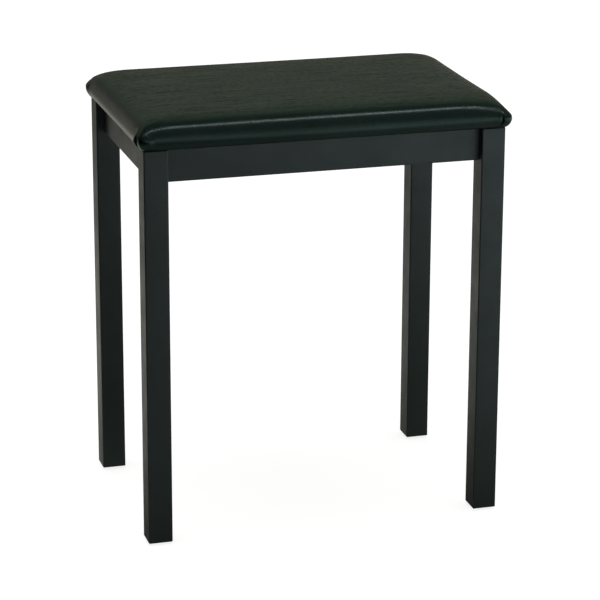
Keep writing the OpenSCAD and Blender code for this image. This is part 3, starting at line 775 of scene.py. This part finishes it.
def cushion_foam(material):
    """Foam block between the board and the cover."""
    first = next(i for i, row in enumerate(PROFILE) if row[1] > BOARD_RISE)
    rows = spline([row[:4] for row in PROFILE[first:]], [max(1, row[4] // 2) for row in PROFILE[first:-1]])
    clear = COVER_T + 2 * SOFT_GAP
    slope = np.gradient(rows[:, :2], axis=0)
    slope /= np.linalg.norm(slope, axis=1, keepdims=True)
    rows[:, 0] -= clear * slope[:, 1]
    rows[:, 1] += clear * slope[:, 0]
    foot = rows[0].copy()
    foot[0] -= FOOT_IN
    foot[1] = BOARD_RISE + FOOT_GAP
    rows = np.concatenate([foot[None], rows])
    rings = np.stack([whole_ring(row, 0.0) for row in rows])
    corner = np.hypot(np.abs(rings[:, :, 0]) - FRAME_W / 2, np.abs(rings[:, :, 1]) - FRAME_D / 2)
    squeeze = np.clip(1 - corner / SQUEEZE_REACH, 0, 1) * SQUEEZE
    rings[:, :, :2] -= from_middle(rings) * squeeze[:, :, None]
    last, n = len(rings) - 1, rings.shape[1]
    faces = [face for i in range(last) for face in band_faces(i, i + 1, n).tolist()]
    faces += [ring_face(last, n), ring_face(0, n)[::-1]]
    return cushion_object("cushion_foam", rings, faces, material)


cover = cushion_cover()
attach(cover, "root")
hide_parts("seat_cover")

block = cushion_foam(foam())
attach(block, "root")
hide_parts("foam_pad")

# Studio

FLOOR_SIDE = 60.0
# Colour of the floor where it lights the stool
FLOOR_BOUNCE = (0.8, 0.8, 0.8, 1)
# Glow, grey and tint of the floor as the camera sees it and as reflections do
FLOOR_SEEN = (0.85, 0.24, (1, 1, 1))
FLOOR_MIRRORED = (0.0, 0.12, (1.05, 1.0, 0.84))
# Colour of the further glow of the floor in reflections, and where it lies: direction over the
# floor, where the glow starts and ends along it, and the glow at its end
GLOW_TINT = (1.04, 1.0, 0.93, 1)
GLOWS = [
    ((0.95, -0.31, 0.0), 0.05, 0.80, 0.30),
    ((-0.80, -0.60, 0.0), 0.58, 0.75, -0.50),
    ((0.80, -0.60, 0.0), 1.02, 1.40, 1.60),
    ((0.0, 1.0, 0.0), -0.95, -0.62, 0.22),
    ((0.0, 1.0, 0.0), -0.56, -0.30, -0.10),
    ((0.0, 1.0, 0.0), -0.30, -0.12, -0.12),
    ((0.0, 1.0, 0.0), -0.10, 0.40, 0.56),
    ((-1.0, 0.0, 0.0), 0.00, 0.50, 0.20),
    ((0.0, 1.0, 0.0), 1.00, 2.10, -0.66),
]


def add_floor():
    """Pale floor. The camera sees its shadow faintly, and does not see it from below."""
    s = Shader("studio_floor")
    looks = []
    for glow, grey, tint in (FLOOR_SEEN, FLOOR_MIRRORED):
        light = s.add("Emission", Color=WHITE, Strength=glow).outputs[0]
        dark = s.add("BsdfDiffuse", Color=(*[grey * part for part in tint], 1)).outputs[0]
        looks.append(s.add("AddShader", in0=light, in1=dark).outputs[0])
    seen, mirrored = looks
    place = s.add("NewGeometry").outputs["Position"]
    total = 0.0
    for way, start, end, glow in GLOWS:
        reach = s.add("VectorMath", {"operation": "DOT_PRODUCT"}, in0=place, in1=way).outputs["Value"]
        total = s.math("ADD", total, s.remap(reach, start, end, 0.0, glow))
    light = s.add("Emission", Color=GLOW_TINT, Strength=total).outputs[0]
    mirrored = s.add("AddShader", in0=mirrored, in1=light).outputs[0]
    below = s.add("NewGeometry").outputs["Backfacing"]
    clear = s.add("BsdfTransparent").outputs[0]
    seen = s.add("MixShader", in0=below, in1=seen, in2=clear).outputs[0]
    plain = s.add("BsdfDiffuse", Color=FLOOR_BOUNCE).outputs[0]
    path = s.add("LightPath").outputs
    sharp = s.math("MAXIMUM", path["Is Glossy Ray"], path["Is Transmission Ray"])
    mix = s.add("MixShader", in0=sharp, in1=plain, in2=mirrored).outputs[0]
    mix = s.add("MixShader", in0=path["Is Camera Ray"], in1=mix, in2=seen).outputs[0]
    half = FLOOR_SIDE / 2
    mesh = bpy.data.meshes.new("floor")
    outline = [(-half, -half, 0), (half, -half, 0), (half, half, 0), (-half, half, 0)]
    mesh.from_pydata(outline, [], [(0, 1, 2, 3)])
    mesh.materials.append(s.finished(mix))
    add_object("floor", mesh)


# Tints of the studio's light
GREEN = (0.86, 1.0, 0.74)
SAGE = (0.95, 1.0, 0.80)
WARM = (1.06, 1.0, 0.86)
PALE = (0.93, 1.0, 0.86)
ROSE = (1.15, 1.0, 1.03)
# The light by height above the horizon: sine of the angle, level and tint
BEHIND = [
    (0.0, 0.14, WARM), (0.15, 0.17, SAGE), (0.31, 0.182, GREEN), (0.50, 0.27, GREEN),
    (0.66, 0.29, GREEN), (0.80, 0.20, GREEN), (1.0, 0.10, GREEN),
]
IN_FRONT = [
    (0.0, 0.22, PALE), (0.08, 0.24, PALE), (0.25, 0.32, PALE), (0.45, 0.34, ROSE), (0.60, 0.36, ROSE),
    (0.80, 0.22, ROSE), (1.0, 0.10, ROSE),
]
# Half of the width over which the light in front turns into the light behind
TURN = 0.4
# In front, brightness by direction to the right: from, to, and the levels there
DARKER_LEFT = (-0.20, 0.35, 0.25, 1.15)


def add_world():
    """Studio with its light by height, in front and behind, white where the camera sees it."""
    world = bpy.data.worlds.new("studio")
    world.use_nodes = True
    s = Nodes(world.node_tree)
    way = s.add("SeparateXYZ", Vector=s.add("TexCoord").outputs["Generated"]).outputs
    behind = s.remap(way["Y"], -TURN, TURN)
    colour = s.blend(behind, s.ramp(way["Z"], IN_FRONT), s.ramp(way["Z"], BEHIND))
    strength = s.add("Mix", in0=behind, in2=s.remap(way["X"], *DARKER_LEFT), in3=1.0).outputs[0]
    light = s.add("Background", Color=colour, Strength=strength).outputs[0]
    white = s.add("Background", Color=WHITE).outputs[0]
    camera = s.add("LightPath").outputs["Is Camera Ray"]
    mix = s.add("MixShader", in0=camera, in1=light, in2=white).outputs[0]
    s.add("OutputWorld", Surface=mix)
    bpy.context.scene.world = world


# Sun overhead: strength, and the angle of its disc
SUN_STRENGTH, SUN_ANGLE = 2.9, math.radians(60)
# Strip light over the front edge: direction and distance from its target, target, length and
# width, power and colour
STRIP_WAY, STRIP_FAR = Vector((0.267, -0.40, 0.877)), 2.0
STRIP_TARGET = Vector((0, -0.14, 0.49))
STRIP_SIZE, STRIP_POWER = (1.3, 0.14), 16.0
STRIP_COLOUR = (1.0, 0.76, 0.73)


def add_sun():
    """Soft light from straight above, unseen in reflections."""
    data = bpy.data.lights.new("overhead", "SUN")
    data.energy = SUN_STRENGTH
    data.angle = SUN_ANGLE
    add_object("overhead", data).visible_glossy = False


def add_strip():
    """Long soft light, seen only as the highlight along the front edge."""
    data = bpy.data.lights.new("edge_light", "AREA")
    data.shape = "RECTANGLE"
    data.size, data.size_y = STRIP_SIZE
    data.energy = STRIP_POWER
    data.color = STRIP_COLOUR
    strip = add_object("edge_light", data)
    strip.location = STRIP_TARGET + STRIP_FAR * STRIP_WAY.normalized()
    strip.rotation_mode = "QUATERNION"
    strip.rotation_quaternion = STRIP_WAY.to_track_quat("Z", "Y")
    strip.visible_diffuse = False


add_floor()
add_world()
add_sun()
add_strip()

bpy.context.scene.view_settings.view_transform = "Standard"
